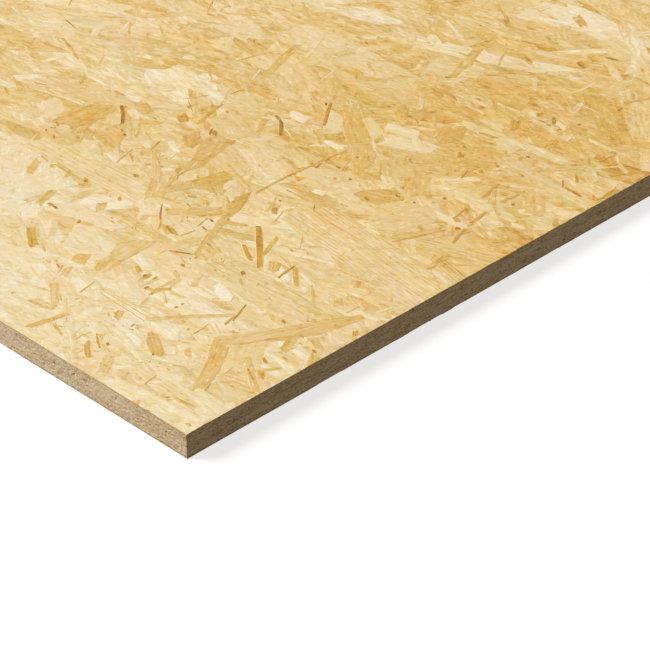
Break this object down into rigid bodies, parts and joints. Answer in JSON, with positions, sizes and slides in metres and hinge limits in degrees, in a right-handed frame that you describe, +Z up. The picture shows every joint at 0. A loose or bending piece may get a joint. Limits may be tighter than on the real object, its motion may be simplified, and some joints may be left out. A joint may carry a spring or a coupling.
{
  "type": "osb panel",
  "caption": "Flat rectangular sheet of oriented strand board with square sawn edges, for sheathing walls, roofs and floors or for packing cases.",
  "frame": {"origin": "centre of the underside, on the floor that the sheet lies on", "axes": "+X along the sheet's length, which is the way most strands of its faces run, +Y across its width, +Z up out of the top face"},
  "size_m": [2.5, 1.25, 0.018],
  "materials": {
    "osb": "pressed pale wood strands, unsanded, with sawn edges"
  },
  "bodies": {
    "root": {"osb_panel": "osb"}
  },
  "joints": []
}
